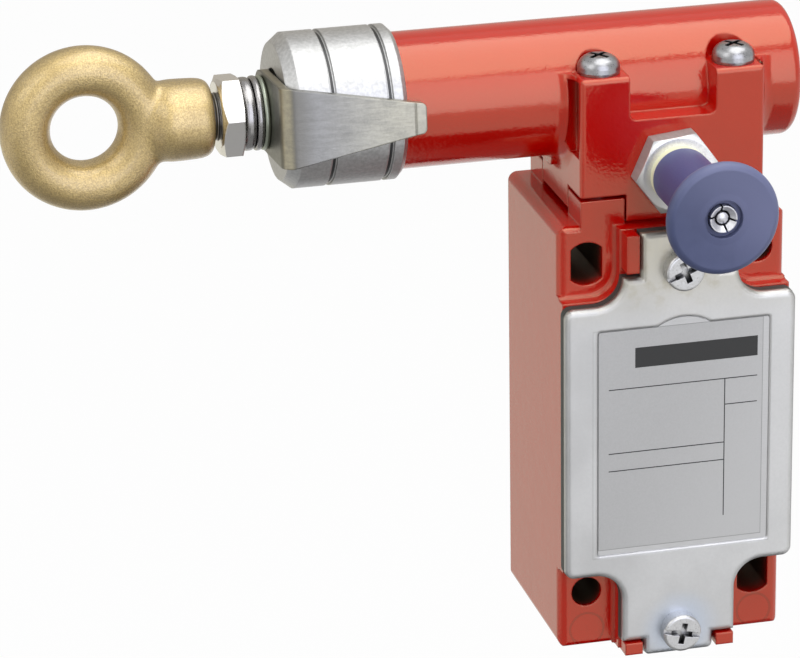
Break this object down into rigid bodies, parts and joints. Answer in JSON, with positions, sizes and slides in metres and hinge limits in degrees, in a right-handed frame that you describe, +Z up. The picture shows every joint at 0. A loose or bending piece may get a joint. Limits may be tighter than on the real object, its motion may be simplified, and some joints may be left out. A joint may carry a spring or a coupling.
{
  "type": "rope pull switch",
  "caption": "Latching rope pull safety switch: cast body and cover, cross tube with sprung pull rod, eye nut and tension pointer, pull-out reset knob, contact block inside.",
  "frame": {"origin": "centre of the 30 x 60 mm fixing pattern, on the flat back face of the body", "axes": "+Z up towards the pull head, +X away from the rope, +Y out of the back face into the wall; the cover faces -Y and the rope eye points to -X"},
  "size_m": [0.1345, 0.0594, 0.1113],
  "materials": {
    "red_paint": "gloss",
    "cover_zinc": "satin",
    "zinc_plated": "satin",
    "cap_alloy": "fine cast grain",
    "pointer_zinc": "dull brushed",
    "tinted_zinc": "satin",
    "eye_cast": "satin, bead blasted, yellow passivated",
    "nut_chrome": "polished",
    "bush_metal": "satin",
    "spring_steel": "satin",
    "brass": "satin",
    "gasket_rubber": "matte",
    "cream_seal": "matte",
    "knob_plastic": "matte",
    "label_film": "satin",
    "block_plastic": "satin",
    "lid_plastic": "gloss",
    "carrier_plastic": "satin",
    "green_screw": "satin"
  },
  "bodies": {
    "housing": {"body_casting": "red_paint", "cover_gasket": "gasket_rubber", "cover_plate": "cover_zinc", "rating_plate": "label_film", "cover_screws": "zinc_plated", "head_gasket": "gasket_rubber", "head_casting": "red_paint", "head_screws": "zinc_plated", "end_cap": "cap_alloy", "rod_wiper": "gasket_rubber", "spring_seat": "zinc_plated", "main_spring": "spring_steel", "plunger_spring": "spring_steel", "reset_bush": "bush_metal", "reset_wiper": "cream_seal", "reset_spring": "spring_steel", "contact_block": "block_plastic", "block_lid": "lid_plastic", "nc_contacts": "brass", "no_contacts": "brass", "terminal_clamps": "zinc_plated", "terminal_screws": "zinc_plated", "block_screws": "zinc_plated", "earth_clamp": "brass", "earth_screw": "green_screw"},
    "pull_rod_group": {"pull_rod": "zinc_plated", "cam_sleeve": "brass", "tension_pointer": "pointer_zinc", "tinted_washer": "tinted_zinc", "flat_washer": "zinc_plated", "spring_washer": "zinc_plated", "lock_nut": "nut_chrome", "eye_nut": "eye_cast"},
    "plunger_group": {"plunger": "zinc_plated", "contact_carrier": "carrier_plastic", "moving_bridges": "brass", "bridge_springs": "spring_steel"},
    "reset_group": {"reset_stem": "zinc_plated", "reset_knob": "knob_plastic", "knob_split_bush": "nut_chrome", "knob_pin": "nut_chrome"}
  },
  "joints": [
    {"name": "rope_pull", "type": "slide", "parent": "housing", "child": "pull_rod_group", "axis": [-1, 0, 0], "range_m": [0, 0.012], "stiffness_N_per_m": 5000, "springref_m": -0.004, "deforming": ["main_spring"]},
    {"name": "plunger_travel", "type": "slide", "parent": "housing", "child": "plunger_group", "axis": [0, 0, -1], "range_m": [0, 0.0036], "deforming": ["plunger_spring"]},
    {"name": "reset_pull", "type": "slide", "parent": "housing", "child": "reset_group", "axis": [0, -1, 0], "range_m": [0, 0.004], "stiffness_N_per_m": 800, "springref_m": -0.003, "deforming": ["reset_spring"]}
  ],
  "couplings": [
    {"joint": "plunger_travel", "follows": "rope_pull", "ratio": 0.3}
  ]
}
